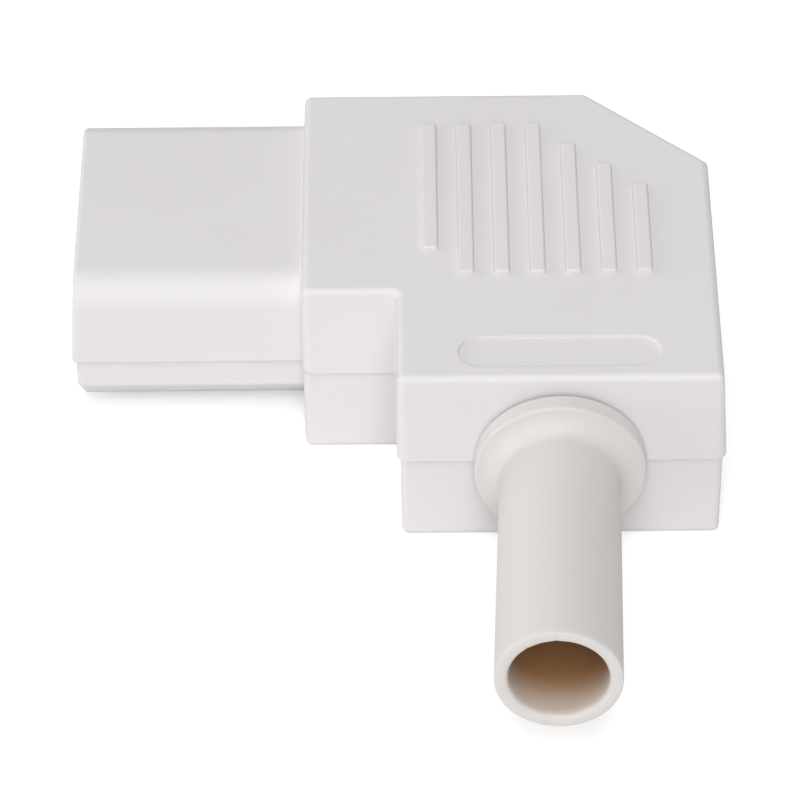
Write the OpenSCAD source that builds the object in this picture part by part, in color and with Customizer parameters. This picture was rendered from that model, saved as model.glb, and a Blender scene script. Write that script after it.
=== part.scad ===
// Right-angle C13 power connector that is wired by hand, in millimetres.
//
// Two moulded shells part along the plane Z = 0, which holds the mating axis and the cord's way in.
// The nose points along -X with the earth contact low, the cord leaves along -Y through a soft
// sleeve, and the origin lies on the mating axis where the nose meets the shoulder.

/* [Nose] */
// Length of the nose in front of the shoulder
nose_len = 19; // [17:0.5:21]
// Width of the nose at the parting plane
nose_w = 24; // [23.4:0.1:24.6]
// Height of the nose above the parting plane
nose_top = 7.9; // [7.6:0.1:8.3]
// Depth of the nose below the parting plane
nose_bottom = 7.7; // [7.4:0.1:8]
// Radius of the nose's two top edges
nose_round = 2.7; // [2:0.1:3.2]
// Leg of the key chamfers along the nose's two bottom edges
key_chamfer = 4.8; // [4.6:0.1:5.4]
// Wall of the nose round the contact carrier
nose_wall = 1.6; // [1.4:0.1:1.8]
// Radius of the nose's front edge
nose_edge = 0.4; // [0.2:0.1:0.6]

/* [Housing] */
// Height of the upper shell
body_top = 8.85; // [8.7:0.05:9.6]
// Depth of the lower shell
body_bottom = 8.3; // [8.1:0.1:9]
// Length of the shoulder block between the nose and the main block
shoulder_len = 7.9; // [7.2:0.1:8.4]
// How far the shoulder stands proud of the nose on the cord side
shoulder_front = 2; // [1.8:0.1:2.6]
// How far the housing stands proud of the nose on the far side
shoulder_back = 1.6; // [1.5:0.1:2.4]
// Length of the housing behind the nose
body_len = 35; // [34:0.5:38]
// Distance from the mating axis to the face that the cord leaves
body_front = 25.2; // [24.6:0.2:28]
// Length of the cut corner along the housing's back
cut_x = 10.4; // [9:0.2:11]
// Length of the cut corner along the housing's end
cut_y = 9.9; // [9:0.1:11]
// Wall of both shells
wall = 1.8; // [1.6:0.1:2]
// Draft of the upper shell's sides in degrees
draft_top = 2.8; // [1:0.1:3]
// Draft of the upper shell's two faces that look towards the nose, in degrees
draft_left = 0.7; // [0.4:0.1:2.8]
// Draft of the lower shell's sides in degrees
draft_bottom = 0.6; // [0.4:0.1:1.5]
// How far the lower shell's rim is set back under the upper shell's
parting_step = 0.3; // [0.1:0.05:0.4]
// How far it is set back on the shoulder's face round the nose
shoulder_step = 0.05; // [0:0.05:0.3]
// Radius of the upright corners
corner_round = 0.9; // [0.5:0.1:1.2]
// Radius of the upright inner corner between the shoulder and the main block
inner_round = 0.25; // [0.1:0.05:0.9]
// Radius of the edges round the top and bottom faces
edge_round = 0.6; // [0.3:0.1:0.8]
// Radius of the upper shell's rim at the parting line
rim_round = 0.25; // [0.1:0.05:0.35]
// Height of the locating lip inside the parting line
lip_h = 1; // [0.6:0.1:1.2]
// Thickness of the locating lip
lip_t = 0.7; // [0.6:0.05:0.8]
// Running gap between mating mouldings
fit_gap = 0.15; // [0.1:0.01:0.2]

/* [Grip] */
// Number of grip ribs on the top face
rib_count = 7; // [5:1:7]
// Distance from one rib to the next
rib_pitch = 2.97; // [2.8:0.01:3.05]
// Width of a rib at its foot
rib_w = 1.45; // [1.2:0.05:1.7]
// Height of a rib
rib_h = 0.45; // [0.3:0.05:0.8]
// Distance from the shoulder's front to the first rib
rib_start = 10.1; // [9.8:0.1:10.6]
// Distance from the mating axis to the ribs' far ends
rib_far = 8.45; // [7.5:0.05:9]
// Distance from the mating axis to the ribs' near ends
rib_near = 11.6; // [10.5:0.1:12.5]
// How much shorter the first rib is at its near end
rib_first_cut = 3.2; // [2:0.1:4]
// Distance from the cut corner to the ends of the stepped ribs
rib_cut_margin = 9.75; // [9:0.05:11]
// Length of the shallow label recess
label_len = 16.6; // [14:0.1:18]
// Width of the label recess
label_w = 3.8; // [3:0.1:4.4]
// Depth of the label recess
label_depth = 0.25; // [0.15:0.05:0.4]
// Distance from the cord face to the middle of the label recess
label_set = 3.8; // [3.4:0.1:4.6]

/* [Contacts] */
// Distance from the mating axis to the line and neutral contacts
pole_pitch = 7; // [6.8:0.1:7.2]
// Distance from the mating axis up to the line and neutral row, and down to the earth
row_offset = 2; // [1.9:0.05:2.1]
// Width of the pin slots
slot_w = 2.6; // [2.3:0.05:2.8]
// Height of the pin slots
slot_h = 4.8; // [4.4:0.1:5]
// Thickness of the carrier's front face
carrier_face = 1.2; // [1:0.1:1.6]
// Thickness of the carrier's flange
flange_t = 1.6; // [1.2:0.1:2]
// How far the carrier's flange reaches past its sides
flange_over = 1.1; // [0.9:0.1:1.3]
// Thickness of the brass strip
strip_t = 0.6; // [0.5:0.05:0.7]
// Width of a contact across its two leaves
contact_w = 3.8; // [3.6:0.1:4]
// Height of the contact leaves
leaf_h = 4.2; // [4:0.1:4.4]
// Length of the contact leaves
leaf_len = 11; // [10:0.5:12]
// Gap between the leaves where they grip the pin
grip_gap = 1.8; // [1.6:0.05:1.9]
// Length of a terminal pad
pad_len = 7; // [6.5:0.1:7.4]
// Width of a terminal pad
pad_w = 5.6; // [5.2:0.1:5.8]
// Distance from the shoulder's front to the terminal pads
pad_start = 5.2; // [5.1:0.1:5.6]
// Depth of the threaded collar under a pad
collar_h = 1.2; // [1:0.1:1.3]
// Wall of the threaded collar
collar_wall = 0.7; // [0.6:0.05:0.8]
// Radius of the terminal screws' thread
terminal_r = 1.5; // [1.4:0.05:1.6]
// Radius of the terminal screws' heads
terminal_head_r = 2; // [1.9:0.05:2.05]
// Height of the terminal screws' heads
terminal_head_h = 1.5; // [1.2:0.1:1.8]
// Thickness of the saddle plate under a terminal screw
saddle_t = 0.9; // [0.7:0.1:1.1]
// Height of the walls between the terminals above the parting plane
barrier_h = 3; // [2:0.5:4]
// Thickness of the walls between the terminals
barrier_t = 0.8; // [0.6:0.05:0.9]

/* [Cord grip] */
// Diameter of the cord that the grip takes
cord_d = 7; // [6.4:0.1:7.4]
// Distance from the cord face to the middle of the clamp bar
clamp_set = 13.2; // [12.8:0.1:14]
// Length of the clamp bar
clamp_len = 16; // [15.6:0.1:16.6]
// Width of the clamp bar along the cord
clamp_w = 3.6; // [3:0.1:4]
// Thickness of the clamp bar's ends
clamp_t = 3; // [2.4:0.1:3.4]
// Distance from the cord's axis to each clamp screw
clamp_screw_x = 6; // [5.9:0.1:6.3]
// Radius of the clamp screws
clamp_screw_r = 1.25; // [1.1:0.05:1.4]
// Length of the clamp screws below their heads
clamp_screw_len = 8; // [7:0.1:8.4]
// Radius of the clamp screws' heads
clamp_head_r = 1.9; // [1.6:0.05:2]
// Height of the clamp screws' heads
clamp_head_h = 1.5; // [1.2:0.1:1.8]
// Radius of the posts under the clamp bar
clamp_post_r = 2.2; // [2.1:0.1:2.4]

/* [Housing screws] */
// Radius of the two housing screws
screw_r = 1.5; // [1.4:0.05:1.6]
// Length of the housing screws below their heads
screw_len = 12; // [11.4:0.1:12.4]
// Radius of the housing screws' heads
screw_head_r = 2.75; // [2.5:0.05:2.8]
// Height of the housing screws' heads
screw_head_h = 1.8; // [1.5:0.1:1.9]
// Depth of the counterbores in the bottom face
counterbore_depth = 2.2; // [2.1:0.1:2.4]
// Radius of the bosses round the housing screws
boss_r = 3.9; // [3.8:0.1:4]
// Distance from the cord face to the front housing screw
front_screw_set = 7; // [6.9:0.1:7.2]
// Width across the flats of the nuts
nut_af = 5.5; // [5.3:0.1:5.6]
// Thickness of the nuts
nut_h = 2.4; // [2:0.1:2.6]

/* [Sleeve] */
// Distance from the shoulder's front to the sleeve's axis
sleeve_x = 21.3; // [21:0.1:21.8]
// Height of the sleeve's axis above the parting plane
sleeve_lift = 0.25; // [0:0.05:0.3]
// Length of the sleeve outside the housing
sleeve_len = 25.9; // [22:0.1:30]
// Lean of the sleeve towards the nose in degrees
sleeve_lean = 1.8; // [0:0.1:2.5]
// Radius of the way through the sleeve
sleeve_bore_r = 4; // [3.8:0.05:4.1]
// Outer radius of the tube behind its flare
tube_r = 4.97; // [4.85:0.01:5.1]
// Outer radius of the tube at its mouth
mouth_r = 5.1; // [5:0.01:5.3]
// Radius of the outer flange
flare_r = 7.1; // [6.8:0.05:7.4]
// Thickness of the outer flange's rim
flare_rim = 1.6; // [1:0.1:2]
// Length of the flare from the rim to the tube
flare_len = 1.6; // [1:0.1:2.5]
// Radius of the neck in the housing's wall
neck_r = 5.3; // [5.2:0.05:5.5]
// Radius of the inner flange
keeper_r = 6; // [5.9:0.05:6.2]
// Thickness of the inner flange
keeper_t = 1.5; // [1.2:0.1:1.6]
// Chamfer of the bore at the sleeve's mouth
mouth_chamfer = 0.3; // [0.1:0.05:0.5]

/* [Hidden] */

$fn = 64;
arc_steps = 5;          // straight steps in a rounded corner
sharp = 0.05;           // radius of a corner that is nearly sharp
past = 1;               // how far a cutter runs past the face it cuts
seat_gap = 0.1;         // gap beside a part that is held in a groove
bolt_gap = 0.1;         // radial gap round a screw in a plain hole
thread_gap = 0.03;      // radial gap round a screw in its thread
big = 200;              // side of the blocks that halve the mouldings

// Housing
back_y = nose_w / 2 + shoulder_back;
plan = [
    [0, -nose_w / 2 - shoulder_front],
    [shoulder_len, -nose_w / 2 - shoulder_front],
    [shoulder_len, -body_front],
    [body_len, -body_front],
    [body_len, back_y - cut_y],
    [body_len - cut_x, back_y],
    [0, back_y]
];
inner_corner = 1;       // index in the plan of the corner between the shoulder and the main block
plan_radii = [for (i = [0:len(plan) - 1]) i == inner_corner ? inner_round : corner_round];
nose_edge_face = len(plan) - 1; // edges of the plan by number: the shoulder's face round the nose,
block_edge_face = inner_corner; // and the main block's face that looks the same way
plan_hub = 5 * (arc_steps + 1); // a point of the outline's cut corner, which sees round the inner corner
ceiling_z = body_top - wall;
floor_z = wall - body_bottom;

// Nose sections, each as points [Y, Z]
nose_tip = -nose_len - nose_top * tan(draft_top);   // where the drafted front meets the parting plane
nose_half = nose_w / 2;
lower_half = nose_half - parting_step;
key_z = key_chamfer - nose_bottom;
key_half = lower_half + key_z * tan(draft_bottom);
upper_section = [
    [-nose_half - past * tan(draft_top), -past],
    [nose_half + past * tan(draft_top), -past],
    [nose_half - nose_top * tan(draft_top), nose_top],
    [-nose_half + nose_top * tan(draft_top), nose_top]
];
upper_radii = [sharp, sharp, nose_round, nose_round];
lower_section = [
    [key_chamfer - key_half, -nose_bottom],
    [key_half - key_chamfer, -nose_bottom],
    [key_half, key_z],
    [lower_half + past * tan(draft_bottom), past],
    [-lower_half - past * tan(draft_bottom), past],
    [-key_half, key_z]
];
lower_radii = [edge_round, edge_round, edge_round, sharp, sharp, edge_round];
core_section = [
    [key_chamfer - nose_half, -nose_bottom],
    [nose_half - key_chamfer, -nose_bottom],
    [nose_half, key_z],
    [nose_half, nose_top],
    [-nose_half, nose_top],
    [-nose_half, key_z]
];
core_radii = [edge_round, edge_round, edge_round, nose_round, nose_round, edge_round];

// Contacts
poles = [[pole_pitch, row_offset], [-pole_pitch, row_offset], [0, -row_offset]];
carrier_start = wall + seat_gap;
carrier_end = carrier_start + flange_t;
leaf_start = carrier_face + fit_gap - nose_len;
leaf_end = leaf_start + leaf_len;
pad_mid = pad_start + pad_len / 2;
thread_hole_r = terminal_r + thread_gap;
collar_r = thread_hole_r + collar_wall;
saddle_margin = 0.8;    // bare pad at each end of a saddle plate
saddle_len = pad_len - 2 * saddle_margin;
saddle_tab = 0.6;
saddle_tab_h = 1;       // height of the tabs above the plate
tail_w = 3;

// Cord grip
clamp_y = clamp_set - body_front;
cord_r = cord_d / 2;
clamp_arch = 1.7;       // clamp bar above the cord
saddle_rib_z = -1.2;    // top of the rib under the cord

// Housing screws
cut_normal = [cut_y, cut_x] / norm([cut_x, cut_y]);
boss_bite = 0.5;        // how far a boss runs into the wall beside it
rear_x = body_len - wall - boss_r + boss_bite;
cut_reach = cut_normal * [body_len - cut_x, back_y] - wall - boss_r + boss_bite;
rear_y = (cut_reach - cut_normal.x * rear_x) / cut_normal.y;
front_x = shoulder_len + wall + boss_r - boss_bite;
front_y = front_screw_set - body_front;
bosses = [[front_x, front_y], [rear_x, rear_y]];
head_seat_z = counterbore_depth - body_bottom;

// Sleeve
keeper_y = wall + seat_gap - body_front;
keeper_rib = 1;         // thickness of the ribs behind the inner flange
keeper_rib_y = keeper_y + keeper_t + seat_gap;

// Inward normal of the edge from a to b on an outline that runs anticlockwise.
function inward(a, b) = let (d = (b - a) / norm(b - a)) [-d.y, d.x];

function turned(v, angle) = [v.x * cos(angle) - v.y * sin(angle), v.x * sin(angle) + v.y * cos(angle)];

// Points round one corner whose two edges are moved inwards by inset1 and inset2.
function corner_points(a, p, b, radius, inset1, inset2) =
    let (
        n1 = inward(a, p),
        n2 = inward(p, b),
        c = n1 * n2,
        turn = atan2(cross(n1, n2), c),
        inset = (inset1 + inset2) / 2,
        r = turn > 0 ? max(radius - inset, sharp) : radius + inset,
        side = sign(turn),
        moved = ((inset1 - inset2 * c) * n1 + (inset2 - inset1 * c) * n2) / (1 - c * c),
        centre = p + moved + (n1 + n2) / (1 + c) * side * r
    )
    [for (k = [0:arc_steps]) centre - side * r * turned(n1, turn * k / arc_steps)];

// The outline moved inwards by inset, and by ease less on the edges whose numbers are in eased.
function outline(corners, radii, inset, ease = 0, eased = []) =
    let (
        n = len(corners),
        insets = [for (i = [0:n - 1]) len([for (e = eased) if (e == i) e]) > 0 ? inset - ease : inset]
    )
    [for (i = [0:n - 1])
        each corner_points(corners[(i + n - 1) % n], corners[i], corners[(i + 1) % n], radii[i],
            insets[(i + n - 1) % n], insets[i])];

// Levels [height, inset] of a rounded edge that ends at height z and begins with inset start.
function rounded_levels(z, start, radius, up) =
    [for (a = [0, 30, 60, 90]) [z - up * radius * (1 - sin(a)), start + radius * (1 - cos(a))]];

// A solid through the outline at each level [height, inset, ease], lowest first. Its flat ends are fans
// of triangles from the outline's point number hub, which has to see every other point. Each level
// leans by lean along the outline's second axis.
module loft(corners, radii, levels, hub = 0, lean = 0, eased = []) {
    rings = [for (l = levels)
        [for (p = outline(corners, radii, l[1], len(l) > 2 ? l[2] : 0, eased)) [p.x, p.y, l[0] + lean * p.y]]];
    n = len(rings[0]);
    last = (len(levels) - 1) * n;
    polyhedron(
        points = [for (ring = rings) each ring],
        faces = concat(
            [for (i = [1:n - 2]) [hub, (hub + i) % n, (hub + i + 1) % n]],
            [for (i = [1:n - 2]) [last + hub, last + (hub + i + 1) % n, last + (hub + i) % n]],
            [for (l = [0:len(levels) - 2], i = [0:n - 1])
                let (j = (i + 1) % n) [l * n + i, (l + 1) * n + i, (l + 1) * n + j, l * n + j]]
        )
    );
}

// Local X, Y and Z become Y, Z and X.
module along_x() { rotate([90, 0, 90]) children(); }

// Local Z becomes -Y, from the cord face outwards, on the sleeve's axis.
module along_cord() { translate([sleeve_x, -body_front, sleeve_lift]) rotate([90, 0, 0]) children(); }

module plan_prism(inset, z0, z1) {
    translate([0, 0, z0]) linear_extrude(z1 - z0) polygon(outline(plan, plan_radii, inset));
}

// The nose from its front, which meets the parting plane at front_x and leans back from there.
module nose_solid(section, radii, front_x, lean) {
    front = rounded_levels(front_x, 0, nose_edge, -1);
    along_x() loft(section, radii, concat([for (i = [3:-1:0]) front[i]], [[wall / 2, 0]]), lean = lean);
}

// The space inside the nose, or what fills it with a gap all round.
module nose_core(gap, x0, x1) {
    along_x() translate([0, 0, x0]) linear_extrude(x1 - x0)
        polygon(outline(core_section, core_radii, nose_wall + gap));
}

module upper_outside() {
    side = (body_top - edge_round) * tan(draft_top);
    ease = (body_top - edge_round) * (tan(draft_top) - tan(draft_left));
    loft(plan, plan_radii, concat(
        [[0, rim_round], [rim_round, rim_round * tan(draft_top)]],
        [for (l = rounded_levels(body_top, side, edge_round, 1)) [l[0], l[1], ease]]),
        plan_hub, eased = [nose_edge_face, block_edge_face]);
    intersection() {
        nose_solid(upper_section, upper_radii, nose_tip, tan(draft_top));
        translate([-big / 2, -big / 2, 0]) cube(big);
    }
}

// The block and the nose run past the parting plane together, and one cut ends both of them there.
module lower_outside() {
    side = parting_step + (body_bottom - edge_round) * tan(draft_bottom);
    foot = rounded_levels(-body_bottom, side, edge_round, -1);
    ease = parting_step - shoulder_step;
    difference() {
        union() {
            loft(plan, plan_radii, concat(
                [for (i = [3:-1:0]) [foot[i][0], foot[i][1], ease]],
                [[past, parting_step - past * tan(draft_bottom), ease]]),
                plan_hub, eased = [nose_edge_face]);
            nose_solid(lower_section, lower_radii, nose_tip + parting_step, -tan(draft_bottom));
        }
        translate([-big / 2, -big / 2, 0]) cube(big);
    }
}

// Ribs on both sides that stop the carrier's flange from moving back.
module carrier_stops(z0, z1) {
    stop_t = 1.2;
    inner = nose_half - nose_wall - fit_gap;
    for (y = [plan[0].y + wall - boss_bite, inner])
        translate([carrier_end + seat_gap, y, z0])
            cube([stop_t, (y > 0 ? back_y - wall + boss_bite - inner : -inner - y), z1 - z0]);
}

// A rib behind the sleeve's inner flange, with a round opening for the cord.
module keeper_rib(z0, z1) {
    translate([sleeve_x - keeper_r, keeper_rib_y, z0]) cube([2 * keeper_r, keeper_rib, z1 - z0]);
}

module grip_ribs() {
    flank = 0.12;
    root = 0.3;
    for (k = [0:rib_count - 1]) {
        x = rib_start + k * rib_pitch;
        cut_edge = back_y - cut_y / cut_x * (x + rib_w / 2 - body_len + cut_x);
        y1 = min(rib_far, cut_edge - rib_cut_margin);
        y0 = -rib_near + (k == 0 ? rib_first_cut : 0);
        translate([x, y1, body_top]) rotate([90, 0, 0]) linear_extrude(y1 - y0)
            polygon([[0, -root], [rib_w, -root], [rib_w, 0], [rib_w - flank, rib_h], [flank, rib_h], [0, 0]]);
    }
}

module label_recess() {
    translate([sleeve_x, label_set - body_front, body_top - label_depth]) linear_extrude(past) {
        for (s = [-1, 1]) translate([s * (label_len - label_w) / 2, 0]) circle(d = label_w);
        square([label_len - label_w, label_w], center = true);
    }
}

module nut_shape(af, h) { cylinder(r = af / 2 / cos(30), h = h, $fn = 6); }

module upper_shell() {
    color([0.87, 0.86, 0.88]) difference() {
        union() {
            difference() {
                upper_outside();
                plan_prism(wall, -past, ceiling_z);
            }
            grip_ribs();
            intersection() {
                plan_prism(wall / 2, 0, ceiling_z + wall / 2);
                union() {
                    for (b = bosses) translate([b.x, b.y, 0]) cylinder(r = boss_r, h = body_top - wall / 2);
                    carrier_stops(0, body_top - wall / 2);
                    keeper_rib(0, body_top - wall / 2);
                }
            }
        }
        nose_core(0, -nose_len - past, wall + past / 2);
        difference() {
            plan_prism(wall - lip_t - fit_gap, -past, lip_h + fit_gap);
            plan_prism(wall + fit_gap, -2 * past, lip_h + past);
        }
        for (b = bosses) translate([b.x, b.y, -past]) {
            nut_shape(nut_af + 2 * fit_gap, nut_h + fit_gap + past);
            cylinder(r = screw_r + bolt_gap, h = head_seat_z + screw_len + past + seat_gap * 4);
        }
        along_cord() translate([0, 0, -wall - past]) cylinder(r = neck_r + seat_gap, h = wall + 2 * past);
        along_cord() translate([0, 0, -keeper_rib_y - body_front - keeper_rib - past])
            cylinder(r = sleeve_bore_r + seat_gap, h = keeper_rib + 2 * past);
        label_recess();
    }
}

module lower_shell() {
    pad_z = [for (p = poles) p[1] - leaf_h / 2 - strip_t];
    color([0.93, 0.93, 0.94]) difference() {
        union() {
            difference() {
                lower_outside();
                plan_prism(wall, floor_z, past);
            }
            difference() {
                plan_prism(wall - lip_t, -wall, lip_h);
                plan_prism(wall, -wall - past, lip_h + past);
            }
            intersection() {
                plan_prism(wall / 2, floor_z - wall / 2, big);
                union() {
                    for (b = bosses) translate([b.x, b.y, floor_z - wall / 2])
                        cylinder(r = boss_r, h = -floor_z + wall / 2);
                    carrier_stops(floor_z - wall / 2, 0);
                    keeper_rib(floor_z - wall / 2, 0);
                    for (i = [0:2]) translate([pad_start, poles[i][0] - pad_w / 2, floor_z - wall / 2])
                        cube([pad_len, pad_w, pad_z[i] - floor_z + wall / 2]);
                    for (s = [-1, 1])
                        translate([pad_start, s * pole_pitch / 2 - barrier_t / 2, floor_z - wall / 2])
                            cube([pad_len + past, barrier_t, barrier_h - floor_z + wall / 2]);
                    for (s = [-1, 1])
                        translate([sleeve_x + s * clamp_screw_x, clamp_y, floor_z - wall / 2])
                            cylinder(r = clamp_post_r, h = -floor_z + wall / 2);
                    translate([sleeve_x - clamp_screw_x, clamp_y - clamp_w / 3, floor_z - wall / 2])
                        cube([2 * clamp_screw_x, clamp_w * 2 / 3, saddle_rib_z - floor_z + wall / 2]);
                }
            }
        }
        nose_core(0, -nose_len - past, wall + past / 2);
        for (b = bosses) translate([b.x, b.y, -body_bottom - past]) {
            cylinder(r = screw_head_r + fit_gap, h = counterbore_depth + past);
            cylinder(r = screw_r + bolt_gap, h = body_bottom + 2 * past);
        }
        for (i = [0:2]) translate([pad_mid, poles[i][0], pad_z[i] - collar_h - seat_gap])
            cylinder(r = collar_r + bolt_gap, h = collar_h + past);
        for (s = [-1, 1]) translate([sleeve_x + s * clamp_screw_x, clamp_y, clamp_t - clamp_screw_len - seat_gap])
            cylinder(r = clamp_screw_r + thread_gap, h = clamp_screw_len + past);
        translate([sleeve_x, clamp_y + clamp_w, sleeve_lift]) rotate([90, 0, 0])
            cylinder(r = cord_r, h = 2 * clamp_w);
        along_cord() translate([0, 0, -wall - past]) cylinder(r = neck_r + seat_gap, h = wall + 2 * past);
        along_cord() translate([0, 0, -keeper_rib_y - body_front - keeper_rib - past])
            cylinder(r = sleeve_bore_r + seat_gap, h = keeper_rib + 2 * past);
    }
}

module contact_carrier() {
    chamber_w = contact_w + 2 * fit_gap;
    color([0.9, 0.89, 0.86]) difference() {
        union() {
            nose_core(fit_gap, -nose_len, carrier_end);
            translate([carrier_start, -nose_half + nose_wall + fit_gap - flange_over, floor_z + fit_gap])
                cube([flange_t, nose_w - 2 * (nose_wall + fit_gap - flange_over), ceiling_z - floor_z - 2 * fit_gap]);
        }
        for (p = poles) {
            translate([-nose_len - past, p[0] - slot_w / 2, p[1] - slot_h / 2])
                cube([carrier_face + 2 * past, slot_w, slot_h]);
            translate([carrier_face - nose_len, p[0] - chamber_w / 2, p[1] - leaf_h / 2 - strip_t - fit_gap])
                cube([nose_len + carrier_end, chamber_w, leaf_h + strip_t + 2 * fit_gap]);
        }
    }
}

// One side leaf of a contact in plan: it narrows to the grip and flares again at the mouth.
module leaf(side) {
    grip_x = leaf_start + leaf_len / 4;
    outer = contact_w / 2;
    grip = grip_gap / 2;
    linear_extrude(leaf_h + strip_t) polygon([
        for (p = [
            [leaf_end, outer - strip_t], [grip_x, grip], [leaf_start, outer - strip_t],
            [leaf_start, outer], [grip_x, grip + strip_t], [leaf_end, outer]
        ]) [p.x, side * p.y]
    ]);
}

// A contact folded from brass strip: two leaves, a tail and a pad with a threaded collar.
module contact(pole) {
    color([0.83, 0.68, 0.33]) translate([0, pole[0], pole[1] - leaf_h / 2 - strip_t]) difference() {
        union() {
            for (side = [-1, 1]) leaf(side);
            translate([leaf_end - leaf_len / 2, -contact_w / 2, 0])
                cube([leaf_len / 2 + strip_t, contact_w, strip_t]);
            translate([leaf_end - leaf_len / 2, -tail_w / 2, 0])
                cube([pad_start - leaf_end + leaf_len / 2 + strip_t, tail_w, strip_t]);
            translate([pad_start, -pad_w / 2, 0]) cube([pad_len, pad_w, strip_t]);
            translate([pad_mid, 0, -collar_h]) cylinder(r = collar_r, h = collar_h + strip_t);
        }
        translate([pad_mid, 0, -collar_h - past]) cylinder(r = thread_hole_r, h = collar_h + strip_t + 2 * past);
    }
}

// A square clamping plate with two tabs that keep it from turning with the screw.
module wire_saddle(pole) {
    color([0.78, 0.78, 0.8]) translate([pad_mid, pole[0], pole[1] - leaf_h / 2]) difference() {
        union() {
            translate([-saddle_len / 2, -pad_w / 2, 0]) cube([saddle_len, pad_w, saddle_t]);
            for (y = [-pad_w / 2, pad_w / 2 - saddle_tab])
                translate([-saddle_len / 4, y, 0]) cube([saddle_len / 2, saddle_tab, saddle_t + saddle_tab_h]);
        }
        translate([0, 0, -past]) cylinder(r = terminal_r + bolt_gap, h = saddle_t + 2 * past);
    }
}

// A slotted cheese-head screw that stands on its head's underside at Z = 0.
module slotted_screw(r, length, head_r, head_h) {
    slot = head_r * 0.35;
    difference() {
        union() {
            translate([0, 0, -length]) cylinder(r = r, h = length);
            cylinder(r = head_r, h = head_h);
        }
        translate([-head_r - past, -slot / 2, head_h / 2]) cube([2 * (head_r + past), slot, head_h]);
    }
}

module terminal_screw(pole) {
    color([0.8, 0.8, 0.82]) translate([pad_mid, pole[0], pole[1] - leaf_h / 2 + saddle_t])
        slotted_screw(terminal_r, saddle_t + strip_t + collar_h, terminal_head_r, terminal_head_h);
}

// A bar that is screwed down over the cord, arched in the middle.
module cord_clamp_bar() {
    top = sleeve_lift + cord_r + clamp_arch;
    hump = cord_r + 0.6;
    color([0.85, 0.84, 0.82]) translate([sleeve_x, clamp_y, 0]) difference() {
        translate([0, clamp_w / 2, 0]) rotate([90, 0, 0]) linear_extrude(clamp_w) polygon([
            [-clamp_len / 2, 0], [clamp_len / 2, 0], [clamp_len / 2, clamp_t], [hump, clamp_t],
            [hump - 1, top], [1 - hump, top], [-hump, clamp_t], [-clamp_len / 2, clamp_t]
        ]);
        translate([0, clamp_w, sleeve_lift]) rotate([90, 0, 0]) cylinder(r = cord_r, h = 2 * clamp_w);
        for (side = [-1, 1]) translate([side * clamp_screw_x, 0, -past])
            cylinder(r = clamp_screw_r + bolt_gap, h = clamp_t + 2 * past);
    }
}

module cord_clamp_screw(side) {
    color([0.8, 0.8, 0.82]) translate([sleeve_x + side * clamp_screw_x, clamp_y, clamp_t])
        slotted_screw(clamp_screw_r, clamp_screw_len, clamp_head_r, clamp_head_h);
}

// A housing screw, which goes in from below, with a cross recess in its head.
module housing_screw(place) {
    cross_w = 0.8;
    cross_len = screw_head_r * 1.2;
    color([0.8, 0.8, 0.82]) translate([place.x, place.y, head_seat_z]) difference() {
        union() {
            cylinder(r = screw_r, h = screw_len);
            translate([0, 0, -screw_head_h]) cylinder(r = screw_head_r, h = screw_head_h);
        }
        for (angle = [0, 90]) rotate(angle)
            translate([-cross_len / 2, -cross_w / 2, -screw_head_h - past])
                cube([cross_len, cross_w, past + screw_head_h * 0.6]);
    }
}

module housing_nut(place) {
    color([0.76, 0.77, 0.79]) translate([place.x, place.y, 0]) difference() {
        nut_shape(nut_af, nut_h);
        translate([0, 0, -past]) cylinder(r = screw_r + thread_gap, h = nut_h + 2 * past);
    }
}

module cord_sleeve() {
    flare_steps = 8;
    inner_z = -wall - seat_gap - keeper_t;
    waist_z = flare_rim + flare_len;
    flare = [for (k = [1:flare_steps])
        let (a = 90 * k / flare_steps)
        [flare_r - (flare_r - tube_r) * sin(a), waist_z - flare_len * cos(a)]];
    color([0.86, 0.85, 0.83]) along_cord() difference() {
        union() {
            rotate_extrude() polygon(concat(
                [[0, inner_z], [keeper_r, inner_z], [keeper_r, -wall - seat_gap], [neck_r, -wall - seat_gap],
                    [neck_r, 0], [flare_r, 0], [flare_r, flare_rim]],
                flare,
                [[0, waist_z]]));
            rotate([0, -sleeve_lean, 0]) rotate_extrude()
                polygon([[0, 0], [tube_r, 0], [tube_r, waist_z], [mouth_r, sleeve_len], [0, sleeve_len]]);
        }
        rotate([0, -sleeve_lean, 0]) {
            translate([0, 0, inner_z - past]) cylinder(r = sleeve_bore_r, h = sleeve_len - inner_z + 2 * past);
            translate([0, 0, sleeve_len - mouth_chamfer])
                cylinder(r1 = sleeve_bore_r, r2 = sleeve_bore_r + 2 * mouth_chamfer, h = 2 * mouth_chamfer);
        }
    }
}

upper_shell();
lower_shell();
contact_carrier();
contact(poles[0]);  // contact_line
contact(poles[1]);  // contact_neutral
contact(poles[2]);  // contact_earth
wire_saddle(poles[0]);  // wire_saddle_line
wire_saddle(poles[1]);  // wire_saddle_neutral
wire_saddle(poles[2]);  // wire_saddle_earth
terminal_screw(poles[0]);  // terminal_screw_line
terminal_screw(poles[1]);  // terminal_screw_neutral
terminal_screw(poles[2]);  // terminal_screw_earth
cord_clamp_bar();
cord_clamp_screw(-1);  // cord_clamp_screw_left
cord_clamp_screw(1);  // cord_clamp_screw_right
housing_screw(bosses[0]);  // housing_screw_front
housing_screw(bosses[1]);  // housing_screw_rear
housing_nut(bosses[0]);  // housing_nut_front
housing_nut(bosses[1]);  // housing_nut_rear
cord_sleeve();
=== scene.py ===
"""Studio scene of a right-angle C13 power connector that is wired by hand.

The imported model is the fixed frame: the nose points along -X, the cord leaves along -Y and the two
shells part along the plane Z = 0. Lengths are written in millimetres and turned to metres by MM.
"""

import logging
import math
from dataclasses import dataclass, field
from enum import Enum
from typing import Callable, Iterable

import bmesh
import bpy
from mathutils import Matrix, Vector


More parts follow.
